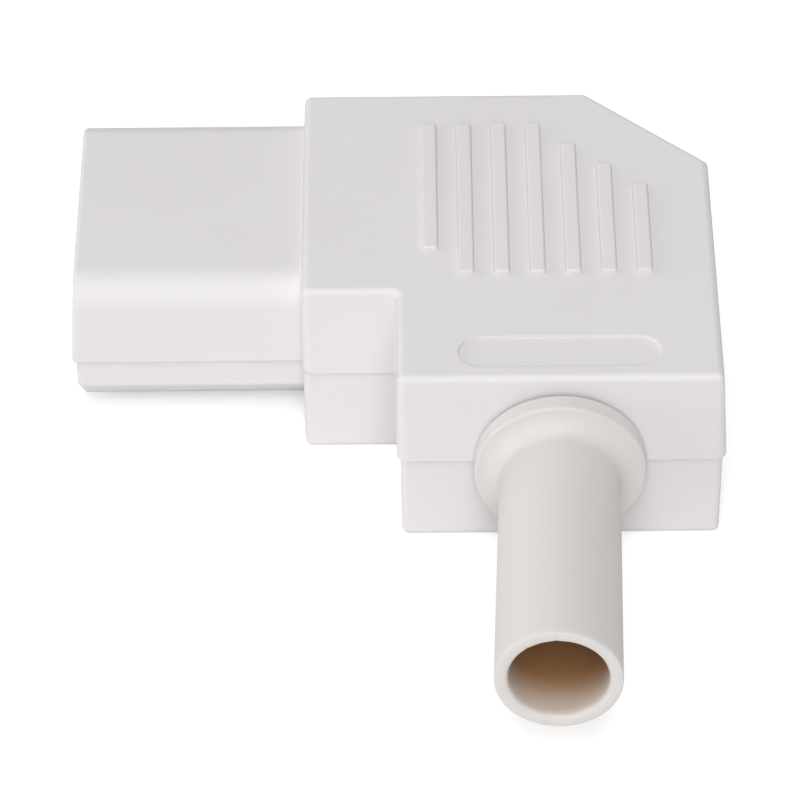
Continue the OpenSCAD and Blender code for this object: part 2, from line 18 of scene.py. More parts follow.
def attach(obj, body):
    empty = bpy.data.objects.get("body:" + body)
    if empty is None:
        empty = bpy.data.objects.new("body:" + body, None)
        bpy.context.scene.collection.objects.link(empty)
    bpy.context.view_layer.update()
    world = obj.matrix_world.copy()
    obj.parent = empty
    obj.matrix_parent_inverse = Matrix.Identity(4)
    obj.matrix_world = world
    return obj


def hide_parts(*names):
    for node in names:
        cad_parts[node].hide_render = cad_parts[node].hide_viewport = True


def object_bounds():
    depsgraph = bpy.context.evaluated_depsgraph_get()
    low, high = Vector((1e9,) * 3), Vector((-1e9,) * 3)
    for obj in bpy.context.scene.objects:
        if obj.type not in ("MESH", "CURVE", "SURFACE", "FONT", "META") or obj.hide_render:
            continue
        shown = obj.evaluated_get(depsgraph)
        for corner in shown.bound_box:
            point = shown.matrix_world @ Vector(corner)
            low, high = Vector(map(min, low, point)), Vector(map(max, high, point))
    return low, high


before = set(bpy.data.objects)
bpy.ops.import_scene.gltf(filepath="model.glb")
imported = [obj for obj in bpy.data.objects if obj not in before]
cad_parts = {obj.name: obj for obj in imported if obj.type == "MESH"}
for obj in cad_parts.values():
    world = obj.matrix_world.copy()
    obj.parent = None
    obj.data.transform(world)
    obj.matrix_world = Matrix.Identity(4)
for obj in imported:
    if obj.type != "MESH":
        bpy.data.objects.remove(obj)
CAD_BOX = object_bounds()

MM = 0.001
MERGE_MM = 0.0005
FLAT_ANGLE = 0.5
ROUNDED_ANGLE = 30.0
FLAT_FACE_WEIGHT = 80
LOG = logging.getLogger("connector")
Test = Callable[[Vector, Vector], bool]


# Small tools

def linear(hex_value: str) -> tuple[float, float, float, float]:
    """Turn an sRGB hex colour such as "DFDBDE" to the linear colour that a socket takes.

    Args:
        hex_value: Six hex digits, red first.

    Returns:
        Linear red, green, blue and an alpha of 1.
    """
    channels = [int(hex_value[i:i + 2], 16) / 255 for i in (0, 2, 4)]
    return tuple(c / 12.92 if c <= 0.04045 else ((c + 0.055) / 1.055) ** 2.4
                 for c in channels) + (1.0,)


def add_node(tree: bpy.types.NodeTree, kind: str, inputs: dict | None = None,
             **settings: object) -> bpy.types.Node:
    """Add a node with its settings, values and links.

    Args:
        tree: The tree that takes the node.
        kind: The node's type name.
        inputs: Input name or number to an output socket, which is linked, or to a value, which is set.
        settings: Attributes of the node itself.

    Returns:
        The new node.
    """
    node = tree.nodes.new(kind)
    for name, value in settings.items():
        setattr(node, name, value)
    for key, value in (inputs or {}).items():
        if isinstance(value, bpy.types.NodeSocket):
            tree.links.new(value, node.inputs[key])
        else:
            node.inputs[key].default_value = value
    return node


def new_material(name: str) -> tuple[bpy.types.Material, bpy.types.NodeTree, bpy.types.NodeSocket]:
    """Make an empty node material.

    Args:
        name: The material's name.

    Returns:
        The material, its tree and its Object coordinate socket.
    """
    material = bpy.data.materials.new(name)
    material.use_nodes = True
    tree = material.node_tree
    tree.nodes.clear()
    return material, tree, add_node(tree, "ShaderNodeTexCoord").outputs["Object"]


def link_object(name: str, mesh: bpy.types.Mesh) -> bpy.types.Object:
    """Put a mesh in the scene as an object at the origin.

    Args:
        name: The object's name.
        mesh: Its mesh, already in place.

    Returns:
        The new object.
    """
    thing = bpy.data.objects.new(name, mesh)
    bpy.context.scene.collection.objects.link(thing)
    return thing


def bake_modifiers(thing: bpy.types.Object) -> None:
    """Turn an object's modifiers into its plain mesh.

    Args:
        thing: The object.
    """
    bpy.context.view_layer.update()
    graph = bpy.context.evaluated_depsgraph_get()
    result = bpy.data.meshes.new_from_object(thing.evaluated_get(graph))
    result.name = thing.name
    thing.modifiers.clear()
    thing.data = result


def smooth_mesh(thing: bpy.types.Object, sharp_angle: float) -> None:
    """Shade a mesh smooth below an angle, with its large flat faces kept flat.

    The frame's own shading is dropped first, because it doesn't fit a mesh that was joined up.

    Args:
        thing: The object.
        sharp_angle: Degrees above which an edge stays sharp.
    """
    stale = thing.data.attributes.get("custom_normal")
    if stale:
        thing.data.attributes.remove(stale)
    thing.data.shade_smooth()
    thing.data.set_sharp_from_angle(angle=math.radians(sharp_angle))
    weighted = thing.modifiers.new("weighted_normals", "WEIGHTED_NORMAL")
    weighted.keep_sharp = True
    weighted.weight = FLAT_FACE_WEIGHT
    bake_modifiers(thing)


def enter_piece(thing: bpy.types.Object, material: bpy.types.Material,
                nodes: Iterable[str] = ()) -> None:
    """Give a finished piece its material, its body and the nodes that it stands for.

    Args:
        thing: The piece.
        material: The finish.
        nodes: Names of the frame's nodes that the piece replaces.
    """
    thing.data.materials.clear()
    thing.data.materials.append(material)
    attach(thing, "root")
    nodes = tuple(nodes)
    if nodes:
        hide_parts(*nodes)
    LOG.info("piece %s: %d faces, %s, for %s", thing.name, len(thing.data.polygons), material.name,
             ", ".join(nodes) or "no node")


def dress_node(node: str, material: bpy.types.Material) -> None:
    """Give a node of the frame its finish.

    Args:
        node: The node's name.
        material: The finish.
    """
    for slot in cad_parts[node].material_slots:
        slot.material = material
    LOG.info("node %s: %s", node, material.name)


# Finishes

class Lay(Enum):
    """Which way the tool marks of a metal finish run."""

    TURNED = (1.0, 1.0, 1.0)
    ROLLED = (1.0, 12.0, 1.0)


@dataclass(frozen=True)
class MouldedNylon:
    """Polyamide moulded in a spark-eroded tool: even matt grain, faint flow clouds, a rare dark speck.

    The specks' core and rim are shares of a cell, which is speck_mm across.
    """

    name: str
    colour: str
    cloud: str
    roughness: float = 0.5
    grain_mm: float = 0.25
    grain_depth_mm: float = 0.005
    cloud_mm: float = 11.0
    speck_mm: float = 9.0
    speck_colour: str = "7A7471"
    speck_core: float = 0.004
    speck_rim: float = 0.011
    speck_strength: float = 0.35
    gloss_spread: float = 0.05
    edge_mm: float = 0.08

    def make(self) -> bpy.types.Material:
        """Build the material. The grain is drawn at about three times its real pitch, to show at all."""
        material, tree, place = new_material(self.name)
        clouds = add_node(tree, "ShaderNodeTexNoise",
                          {"Vector": place, "Scale": 1 / (self.cloud_mm * MM), "Detail": 3.0,
                           "Roughness": 0.5})
        tone = add_node(tree, "ShaderNodeMix",
                        {"Factor": clouds.outputs["Fac"], "A": linear(self.colour), "B": linear(self.cloud)},
                        data_type="RGBA")
        cells = add_node(tree, "ShaderNodeTexVoronoi", {"Vector": place, "Scale": 1 / (self.speck_mm * MM)})
        # A speck is a dark inclusion up to 0.2 mm across. It shows only where a cell's point lies on
        # the surface, so most faces have none.
        speck = add_node(tree, "ShaderNodeMapRange",
                         {"Value": cells.outputs["Distance"], "From Min": self.speck_core,
                          "From Max": self.speck_rim, "To Min": self.speck_strength, "To Max": 0.0})
        colour = add_node(tree, "ShaderNodeMix",
                          {"Factor": speck.outputs["Result"], "A": tone.outputs[2],
                           "B": linear(self.speck_colour)},
                          data_type="RGBA")
        grain = add_node(tree, "ShaderNodeTexNoise",
                         {"Vector": place, "Scale": 1 / (self.grain_mm * MM), "Detail": 2.0,
                          "Roughness": 0.6})
        gloss = add_node(tree, "ShaderNodeMapRange",
                         {"Value": grain.outputs["Fac"], "From Min": 0.3, "From Max": 0.7,
                          "To Min": self.roughness - self.gloss_spread,
                          "To Max": self.roughness + self.gloss_spread})
        edge = add_node(tree, "ShaderNodeBevel", {"Radius": self.edge_mm * MM}, samples=4)
        bump = add_node(tree, "ShaderNodeBump",
                        {"Height": grain.outputs["Fac"], "Distance": self.grain_depth_mm * MM,
                         "Strength": 0.6, "Normal": edge.outputs["Normal"]})
        shader = add_node(tree, "ShaderNodeBsdfPrincipled",
                          {"Base Color": colour.outputs[2], "Roughness": gloss.outputs["Result"],
                           "Normal": bump.outputs["Normal"], "IOR": 1.53})
        add_node(tree, "ShaderNodeOutputMaterial", {"Surface": shader.outputs["BSDF"]})
        return material


@dataclass(frozen=True)
class SoftPvc:
    """Plasticised PVC, moulded and cut to length: warmer and duller than nylon, with painted shade further
    into its bore.
    """

    name: str
    colour: str
    # The bore has a warm tint at the mouth and a darker tan further in; the darkening is painted shade.
    bore: str
    deep_shade: str
    depth_mm: float = 5.0
    draw_mm: float = 0.5
    draw_depth_mm: float = 0.01
    edge_mm: float = 0.4
    roughness: float = 0.55

    def make(self) -> bpy.types.Material:
        """Build the material. The piece's bore_depth attribute says how far inside the bore a point is."""
        material, tree, place = new_material(self.name)
        depth = add_node(tree, "ShaderNodeAttribute", attribute_name="bore_depth")
        # Painted shade: the bore's colour darkens from the mouth inwards over depth_mm.
        inside = add_node(tree, "ShaderNodeMapRange",
                          {"Value": depth.outputs["Fac"], "From Min": 0.0, "From Max": self.depth_mm * MM},
                          interpolation_type="SMOOTHSTEP")
        edge = add_node(tree, "ShaderNodeMapRange",
                        {"Value": depth.outputs["Fac"], "From Min": 0.0, "From Max": self.edge_mm * MM})
        bore = add_node(tree, "ShaderNodeMix",
                        {"Factor": inside.outputs["Result"], "A": linear(self.bore), "B": linear(self.deep_shade)},
                        data_type="RGBA")
        tone = add_node(tree, "ShaderNodeMix",
                        {"Factor": edge.outputs["Result"], "A": linear(self.colour), "B": bore.outputs[2]},
                        data_type="RGBA")
        # Faint draw lines run along the tube where it left the mould.
        along = add_node(tree, "ShaderNodeMapping", {"Vector": place, "Scale": (1.0, 0.06, 1.0)})
        draw = add_node(tree, "ShaderNodeTexNoise",
                        {"Vector": along.outputs["Vector"], "Scale": 1 / (self.draw_mm * MM), "Detail": 2.0})
        bump = add_node(tree, "ShaderNodeBump",
                        {"Height": draw.outputs["Fac"], "Distance": self.draw_depth_mm * MM, "Strength": 0.5})
        shader = add_node(tree, "ShaderNodeBsdfPrincipled",
                          {"Base Color": tone.outputs[2], "Roughness": self.roughness, "IOR": 1.5,
                           "Normal": bump.outputs["Normal"]})
        add_node(tree, "ShaderNodeOutputMaterial", {"Surface": shader.outputs["BSDF"]})
        return material


@dataclass(frozen=True)
class WorkedMetal:
    """Rolled strip or turned and plated steel: fine tool marks that stretch or ring the highlight."""

    name: str
    colour: str
    shade: str
    roughness: float
    lay: Lay
    mark_mm: float = 0.12
    mark_depth_mm: float = 0.004
    edge_mm: float = 0.08

    def make(self) -> bpy.types.Material:
        """Build the material."""
        material, tree, place = new_material(self.name)
        lie = add_node(tree, "ShaderNodeMapping", {"Vector": place, "Scale": self.lay.value})
        marks = add_node(tree, "ShaderNodeTexNoise",
                         {"Vector": lie.outputs["Vector"], "Scale": 1 / (self.mark_mm * MM), "Detail": 3.0})
        tone = add_node(tree, "ShaderNodeMix",
                        {"Factor": marks.outputs["Fac"], "A": linear(self.colour), "B": linear(self.shade)},
                        data_type="RGBA")
        edge = add_node(tree, "ShaderNodeBevel", {"Radius": self.edge_mm * MM}, samples=4)
        bump = add_node(tree, "ShaderNodeBump",
                        {"Height": marks.outputs["Fac"], "Distance": self.mark_depth_mm * MM, "Strength": 0.4,
                         "Normal": edge.outputs["Normal"]})
        shader = add_node(tree, "ShaderNodeBsdfPrincipled",
                          {"Base Color": tone.outputs[2], "Metallic": 1.0, "Roughness": self.roughness,
                           "Normal": bump.outputs["Normal"]})
        add_node(tree, "ShaderNodeOutputMaterial", {"Surface": shader.outputs["BSDF"]})
        return material


# The object

class Half(Enum):
    """The two mouldings of the housing."""

    UPPER = "upper_shell"
    LOWER = "lower_shell"


@dataclass
class MouldedPart:
    """A moulding taken from its solid, with the radii that its tool puts on the edges that show."""

    node: str
    name: str
    slot: str = "shell_white"
    sharp_angle: float = 50.0

    def solid(self) -> bmesh.types.BMesh:
        """Take the node's mesh, joined up and with its flat faces made whole."""
        work = bmesh.new()
        work.from_mesh(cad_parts[self.node].data)
        bmesh.ops.remove_doubles(work, verts=work.verts, dist=MERGE_MM * MM)
        bmesh.ops.dissolve_limit(work, angle_limit=math.radians(FLAT_ANGLE), verts=work.verts,
                                 edges=work.edges)
        return work

    @staticmethod
    def round_edges(work: bmesh.types.BMesh, radius_mm: float, steps: int, wanted: Test) -> None:
        """Round the sharp edges whose two ends pass a test.

        Args:
            work: The mesh.
            radius_mm: The radius.
            steps: Flats in the rounding.
            wanted: A test of an edge's two ends, in millimetres.
        """
        edges = [e for e in work.edges
                 if len(e.link_faces) == 2 and e.calc_face_angle(0) > math.radians(ROUNDED_ANGLE)
                 and wanted(e.verts[0].co / MM, e.verts[1].co / MM)]
        if edges:
            bmesh.ops.bevel(work, geom=edges, offset=radius_mm * MM, segments=steps, profile=0.5,
                            affect="EDGES", clamp_overlap=True)
        LOG.info("rounded %d edges by %.2f mm", len(edges), radius_mm)

    def finish(self, work: bmesh.types.BMesh, material: bpy.types.Material) -> bpy.types.Object:
        """Turn the worked mesh into the piece that stands for the node.

        Args:
            work: The mesh, which is freed.
            material: The finish.

        Returns:
            The piece.
        """
        mesh = bpy.data.meshes.new(self.name)
        work.to_mesh(mesh)
        work.free()
        thing = link_object(self.name, mesh)
        smooth_mesh(thing, self.sharp_angle)
        enter_piece(thing, material, [self.node])
        return thing


@dataclass
class HousingShell(MouldedPart):
    """One half of the housing: block, nose and parting rim."""

    half: Half = Half.UPPER
    top_mm: float = 8.85
    bottom_mm: float = 8.3
    nose_half_mm: float = 12.05
    mouth_mm: float = 18.6
    nose_fillet_mm: float = 0.22
    mouth_round_mm: float = 0.12
    rim_round_mm: float = 0.1
    recess_round_mm: float = 0.08
    # The label field is sunk into the top face within these limits.
    field_depth_mm: float = 0.3
    field_x_mm: tuple[float, float] = (12.5, 30.0)
    field_y_mm: tuple[float, float] = (-24.0, -18.0)
    # The underside's edge is left alone here, next to the sleeve's seat.
    seat_y_mm: float = 24.5
    # The shoulder's plane, with half the width of the strip that counts as on it.
    shoulder_x_mm: float = 0.05
    shoulder_near_mm: float = 0.08
    # Heights at which the fillet at the nose's root stops, in from the top and from the underside.
    fillet_top_mm: float = 0.8
    fillet_bottom_mm: float = 0.5
    # The nose's mouth, as half its width and its two heights.
    mouth_half_mm: float = 10.6
    mouth_top_mm: float = 6.5
    mouth_bottom_mm: float = -6.3
    on_face_mm: float = 0.002
    under_face_mm: float = 0.01

    def strip_ribs(self, work: bmesh.types.BMesh) -> None:
        """Take the grip ribs off the top face, and close the face under them.

        Args:
            work: The mesh of the upper moulding.
        """
        top = self.top_mm * MM
        near = self.on_face_mm * MM
        ribs = [f for f in work.faces
                if all(v.co.z > top - near for v in f.verts)
                and any(v.co.z > top + near for v in f.verts)]
        bmesh.ops.delete(work, geom=ribs, context="FACES")
        rim = [e for e in work.edges if e.is_boundary]
        closed = bmesh.ops.edgeloop_fill(work, edges=rim)["faces"]
        for face in closed:
            if face.normal.z < 0:
                face.normal_flip()
        LOG.info("closed %d places under the ribs", len(closed))

    def in_field(self, a: Vector, b: Vector) -> bool:
        """Say whether an edge belongs to the rim or the wall of the label field."""
        return (min(a.z, b.z) > self.top_mm - self.field_depth_mm
                and max(a.y, b.y) < self.field_y_mm[1] and min(a.y, b.y) > self.field_y_mm[0]
                and min(a.x, b.x) > self.field_x_mm[0] and max(a.x, b.x) < self.field_x_mm[1])

    def under_housing(self, a: Vector, b: Vector) -> bool:
        """Say whether an edge lies on the underside, away from the sleeve's seat."""
        return (max(a.z, b.z) < -self.bottom_mm + self.under_face_mm
                and max(abs(a.y), abs(b.y)) <= self.seat_y_mm)

    def at_nose_root(self, a: Vector, b: Vector) -> bool:
        """Say whether an edge is where the nose meets the shoulder."""
        return (max(abs(a.x - self.shoulder_x_mm), abs(b.x - self.shoulder_x_mm)) < self.shoulder_near_mm
                and max(abs(a.y), abs(b.y)) < self.nose_half_mm
                and max(a.z, b.z) < self.top_mm - self.fillet_top_mm
                and min(a.z, b.z) > -self.bottom_mm + self.fillet_bottom_mm)

    def on_mouth(self, a: Vector, b: Vector) -> bool:
        """Say whether an edge is on the mouth of the nose."""
        return (max(a.x, b.x) < -self.mouth_mm and max(abs(a.y), abs(b.y)) < self.mouth_half_mm
                and max(a.z, b.z) < self.mouth_top_mm and min(a.z, b.z) > self.mouth_bottom_mm)

    def build(self, material: bpy.types.Material) -> bpy.types.Object:
        """Build the half.

        Args:
            material: The finish.

        Returns:
            The piece.
        """
        work = self.solid()
        if self.half is Half.UPPER:
            self.strip_ribs(work)
            self.round_edges(work, self.recess_round_mm, 2, self.in_field)
        else:
            self.round_edges(work, self.rim_round_mm, 2, self.under_housing)
        self.round_edges(work, self.nose_fillet_mm, 3, self.at_nose_root)
        self.round_edges(work, self.mouth_round_mm, 2, self.on_mouth)
        return self.finish(work, material)


@dataclass
class GripRibs:
    """Raised ribs across the top face, each cut short where the corner of the housing is cut."""

    count: int = 7
    pitch_mm: float = 2.97
    width_mm: float = 1.45
    height_mm: float = 0.45
    root_mm: float = 0.3
    flank_mm: float = 0.12
    start_mm: float = 10.1
    top_mm: float = 8.85
    far_mm: float = 8.45
    near_mm: float = 11.6
    first_cut_mm: float = 3.2
    # A rib that nears the cut corner ends at this reach less the slope times its middle.
    cut_reach_mm: float = 27.268
    cut_slope: float = 0.9519
    edge_mm: float = 0.16
    sharp_angle: float = 60.0

    def tree(self, material: bpy.types.Material) -> tuple[bpy.types.NodeTree, dict[str, str]]:
        """Build the Geometry Nodes tree of the ribs.

        Args:
            material: The finish that the tree sets.

        Returns:
            The tree, and each named input's socket identifier.
        """
        tree = bpy.data.node_groups.new("grip_rib_row", "GeometryNodeTree")
        face = tree.interface
        sizes = ["Pitch", "Width", "Height", "Root", "Flank", "Start", "Top", "Far", "Near", "First Cut",
                 "Cut Reach", "Cut Slope"]
        ids = {"Count": face.new_socket("Count", in_out="INPUT", socket_type="NodeSocketInt").identifier}
        for size in sizes:
            ids[size] = face.new_socket(size, in_out="INPUT", socket_type="NodeSocketFloat").identifier
        face.new_socket("Geometry", in_out="OUTPUT", socket_type="NodeSocketGeometry")
        given = add_node(tree, "NodeGroupInput").outputs

        def calc(operation: str, a: object, b: object) -> bpy.types.NodeSocket:
            """Add one sum and return its result."""
            return add_node(tree, "ShaderNodeMath", {0: a, 1: b}, operation=operation).outputs["Value"]

        number = add_node(tree, "GeometryNodeInputIndex").outputs["Index"]
        middle = calc("ADD", calc("ADD", given["Start"], calc("MULTIPLY", given["Width"], 0.5)),
                      calc("MULTIPLY", given["Pitch"], number))
        cut = calc("SUBTRACT", given["Cut Reach"], calc("MULTIPLY", given["Cut Slope"], middle))
        far = calc("MINIMUM", given["Far"], cut)
        first = calc("LESS_THAN", number, 0.5)
        near = calc("SUBTRACT", calc("MULTIPLY", first, given["First Cut"]), given["Near"])
        place = add_node(tree, "ShaderNodeCombineXYZ",
                         {"X": middle, "Y": calc("MULTIPLY", calc("ADD", far, near), 0.5),
                          "Z": calc("ADD", given["Top"],
                                    calc("MULTIPLY", calc("SUBTRACT", given["Height"], given["Root"]), 0.5))})
        size = add_node(tree, "ShaderNodeCombineXYZ",
                        {"X": given["Width"], "Y": calc("SUBTRACT", far, near),
                         "Z": calc("ADD", given["Height"], given["Root"])})
        points = add_node(tree, "GeometryNodePoints",
                          {"Count": given["Count"], "Position": place.outputs["Vector"]})
        bar = add_node(tree, "GeometryNodeMeshCube", {"Size": (1.0, 1.0, 1.0)})
        here = add_node(tree, "GeometryNodeInputPosition").outputs["Position"]
        apart = add_node(tree, "ShaderNodeSeparateXYZ", {"Vector": here})
        # The crest is narrower than the foot by the flank on each side.
        narrow = calc("SUBTRACT", 1.0, calc("DIVIDE", calc("MULTIPLY", given["Flank"], 2.0), given["Width"]))
        crest = add_node(tree, "ShaderNodeCombineXYZ",
                         {"X": calc("MULTIPLY", apart.outputs["X"], narrow), "Y": apart.outputs["Y"],
                          "Z": apart.outputs["Z"]})
        upper = calc("GREATER_THAN", apart.outputs["Z"], 0.0)
        shaped = add_node(tree, "GeometryNodeSetPosition",
                          {"Geometry": bar.outputs["Mesh"], "Selection": upper,
                           "Position": crest.outputs["Vector"]})
        row = add_node(tree, "GeometryNodeInstanceOnPoints",
                       {"Points": points.outputs[0], "Instance": shaped.outputs["Geometry"],
                        "Scale": size.outputs["Vector"]})
        real = add_node(tree, "GeometryNodeRealizeInstances", {"Geometry": row.outputs["Instances"]})
        dressed = add_node(tree, "GeometryNodeSetMaterial",
                           {"Geometry": real.outputs["Geometry"], "Material": material})
        add_node(tree, "NodeGroupOutput", {"Geometry": dressed.outputs["Geometry"]})
        return tree, ids

    def build(self, material: bpy.types.Material) -> bpy.types.Object:
        """Build the ribs as one piece.

        Args:
            material: The finish.

        Returns:
            The piece.
        """
        thing = link_object("grip_ribs", bpy.data.meshes.new("grip_ribs"))
        tree, ids = self.tree(material)
        rule = thing.modifiers.new("grip_rib_row", "NODES")
        rule.node_group = tree
        values = {"Pitch": self.pitch_mm, "Width": self.width_mm, "Height": self.height_mm,
                  "Root": self.root_mm, "Flank": self.flank_mm, "Start": self.start_mm,
                  "Top": self.top_mm, "Far": self.far_mm, "Near": self.near_mm,
                  "First Cut": self.first_cut_mm, "Cut Reach": self.cut_reach_mm}
        rule[ids["Count"]] = self.count
        rule[ids["Cut Slope"]] = self.cut_slope
        for name, value in values.items():
            rule[ids[name]] = value * MM
        soft = thing.modifiers.new("rib_edges", "BEVEL")
        soft.width = self.edge_mm * MM
        soft.segments = 3
        bake_modifiers(thing)
        smooth_mesh(thing, self.sharp_angle)
        enter_piece(thing, material)
        return thing


@dataclass(frozen=True)
class Nick:
    """A small tear that the knife left in the mouth: where, how wide and how deep."""

    at: float
    half_width: float
    depth_mm: float


@dataclass(frozen=True)
class CutWave:
    """A gentle wave in the cut face: how many to a turn, where it starts and half its height."""

    count: int
    start: float
    height_mm: float


@dataclass
class CordSleeve:
    """The soft sleeve: a thick flange that sweeps into a leaning tube, cut off square at its mouth."""

    x_mm: float = 21.3
    face_mm: float = 25.2
    lift_mm: float = 0.25
    lean: float = 1.8
    length_mm: float = 25.9
    bore_mm: float = 4.0
    tube_mm: float = 4.97
    mouth_mm: float = 5.1
    flange_mm: float = 7.1
    rim_mm: float = 1.6
    sweep_mm: float = 1.6
    neck_mm: float = 5.3
    keeper_mm: float = 6.0
    wall_mm: float = 1.9
    keeper_end_mm: float = 3.4
    keeper_round_mm: float = 0.1
    # The flange's rim tapers a little and ends in a rounding.
    rim_round_mm: float = 0.25
    rim_taper_mm: float = 0.05
    rim_flat_mm: float = 0.3
    rim_step_mm: float = 0.1
    rim_fall_mm: float = 0.004
    # The leaning begins this far out from the housing, and is full at the end of the sweep.
    lean_start_mm: float = 0.3
    # The tube's lip, outside and inside.
    lip_mm: float = 0.16
    cut_depth_mm: float = 0.4
    bore_lip_mm: float = 0.34
    bore_step_mm: float = 0.5
    bore_rings: int = 24
    bore_start_mm: float = 0.05
    tube_rings: int = 40
    around: int = 144
    sharp_angle: float = 55.0
    merge_mm: float = 0.001
    waves: tuple[CutWave, ...] = (CutWave(3, 40.0, 0.018), CutWave(11, 0.0, 0.012))
    nicks: tuple[Nick, ...] = (Nick(93.0, 4.0, 0.14), Nick(128.0, 3.0, 0.12), Nick(205.0, 6.0, 0.1),
                               Nick(262.0, 4.0, 0.12), Nick(305.0, 5.0, 0.14), Nick(20.0, 4.0, 0.08))
    # A nick fades out within this many of its half widths, and stays this near the bore.
    nick_reach: float = 2.5
    nick_band_mm: float = 0.4

    def keeper(self) -> list[tuple[float, float]]:
        """Distance and radius of the rings of the inner flange, the neck and the flange's back."""
        soft = self.keeper_round_mm
        end, wall = -self.keeper_end_mm, -self.wall_mm
        return [(end, self.bore_mm), (end, self.keeper_mm - soft), (end + soft, self.keeper_mm),
                (wall - soft, self.keeper_mm), (wall, self.keeper_mm - soft), (wall, self.neck_mm),
                (0.0, self.neck_mm), (0.0, self.flange_mm - 0.12), (0.06, self.flange_mm - 0.03),
                (0.14, self.flange_mm)]

    def flange(self) -> list[tuple[float, float]]:
        """Distance and radius of the rings of the flange's rim and of the sweep into the tube."""
        soft = self.rim_round_mm
        steps = int((self.rim_mm - soft - 0.2) / self.rim_step_mm)
        rings = [(self.rim_flat_mm + self.rim_step_mm * k, self.flange_mm - self.rim_fall_mm * k)
                 for k in range(steps)]
        edge = self.flange_mm - self.rim_taper_mm
        for turn in (math.radians(a) for a in range(0, 91, 18)):
            rings.append((self.rim_mm - soft + soft * math.sin(turn), edge - soft * (1 - math.cos(turn))))
        start = edge - soft
        for turn in (math.radians(a) for a in range(9, 91, 9)):
            rings.append((self.rim_mm + self.sweep_mm * (1 - math.cos(turn)),
                          start - (start - self.tube_mm) * math.sin(turn)))
        return rings

    def tube(self) -> list[tuple[float, float]]:
        """Distance and radius of the rings of the tube and of its lip's outside."""
        begin, end = self.rim_mm + self.sweep_mm, self.length_mm
        rings = []
        for t in (k / self.tube_rings for k in range(1, self.tube_rings)):
            rings.append((begin + (end - self.lip_mm - begin) * t,
                          self.tube_mm + (self.mouth_mm - self.tube_mm) * t))
        return rings + [(end - 0.12, self.mouth_mm), (end - 0.03, self.mouth_mm - 0.04),
                        (end, self.mouth_mm - 0.14)]

    def inside(self) -> list[tuple[float, float]]:
        """Distance and radius of each ring from the mouth back through the bore."""
        end, lip = self.length_mm, self.bore_lip_mm
        rings = [(end, self.bore_mm + lip), (end - 0.05, self.bore_mm + 0.22),
                 (end - 0.18, self.bore_mm + 0.08), (end - lip, self.bore_mm)]
        rings += [(end - lip - self.bore_step_mm * k, self.bore_mm) for k in range(1, self.bore_rings)]
        return rings + [(0.0, self.bore_mm)]

    def ragged(self, turn: float, radius: float) -> float:
        """How far the cut face falls back at an angle, in millimetres.

        Args:
            turn: Angle round the axis in degrees.
            radius: Distance from the axis.

        Returns:
            The fall, which is never negative.
        """
        fall = sum(wave.height_mm * (1 + math.sin(math.radians(turn * wave.count + wave.start)))
                   for wave in self.waves)
        for nick in self.nicks:
            off = abs((turn - nick.at + 180) % 360 - 180) / nick.half_width
            if off < self.nick_reach and radius < self.bore_mm + self.nick_band_mm:
                fall += nick.depth_mm * math.exp(-off * off * 2)
        return fall

    def ring(self, s: float, r: float, inner: bool) -> list[Vector]:
        """Place the points of one ring, leaned and with the cut's unevenness.

        Args:
            s: Distance from the housing.
            r: Radius.
            inner: Whether the ring is in the bore.

        Returns:
            The points, in metres.
        """
        lean = math.radians(self.lean)
        begin = self.rim_mm + self.sweep_mm
        share = 1.0 if inner else min(max((s - self.lean_start_mm) / begin, 0.0), 1.0)
        tilt = lean * share
        centre = Vector((self.x_mm - math.sin(lean) * s * share, -self.face_mm - math.cos(tilt) * s,
                         self.lift_mm))
        across = Vector((math.cos(tilt), -math.sin(tilt), 0.0))
        along = Vector((-math.sin(tilt), -math.cos(tilt), 0.0))
        up = Vector((0.0, 0.0, 1.0))
        near_cut = min(max(1 - (self.length_mm - s) / self.cut_depth_mm, 0.0), 1.0)
        points = []
        for turn in (360 * k / self.around for k in range(self.around)):
            a = math.radians(turn)
            spot = centre + across * (r * math.cos(a)) + up * (r * math.sin(a))
            points.append((spot - along * (self.ragged(turn, r) * near_cut)) * MM)
        return points

    def build(self, material: bpy.types.Material) -> bpy.types.Object:
        """Build the sleeve.

        Args:
            material: The finish.

        Returns:
            The piece.
        """
        outer = self.keeper() + self.flange() + self.tube()
        rings = [(s, r, False) for s, r in outer] + [(s, r, True) for s, r in self.inside()]
        points, depths = [], []
        for s, r, inner in rings:
            points += self.ring(s, r, inner)
            depth = max(self.length_mm - self.bore_start_mm - s, 0.0) * MM if inner else 0.0
            depths += [depth] * self.around
        n, total = self.around, len(rings)
        faces = [(i * n + k, i * n + (k + 1) % n, (i + 1) % total * n + (k + 1) % n, (i + 1) % total * n + k)
                 for i in range(total) for k in range(n)]
        mesh = bpy.data.meshes.new("cord_sleeve_moulding")
        mesh.from_pydata(points, [], faces)
        layer = mesh.attributes.new("bore_depth", "FLOAT", "POINT")
        layer.data.foreach_set("value", depths)
        work = bmesh.new()
        work.from_mesh(mesh)
        bmesh.ops.remove_doubles(work, verts=work.verts, dist=self.merge_mm * MM)
        bmesh.ops.recalc_face_normals(work, faces=work.faces)
        work.to_mesh(mesh)
        work.free()
        thing = link_object("cord_sleeve_moulding", mesh)
        smooth_mesh(thing, self.sharp_angle)
        enter_piece(thing, material, ["cord_sleeve"])
        return thing


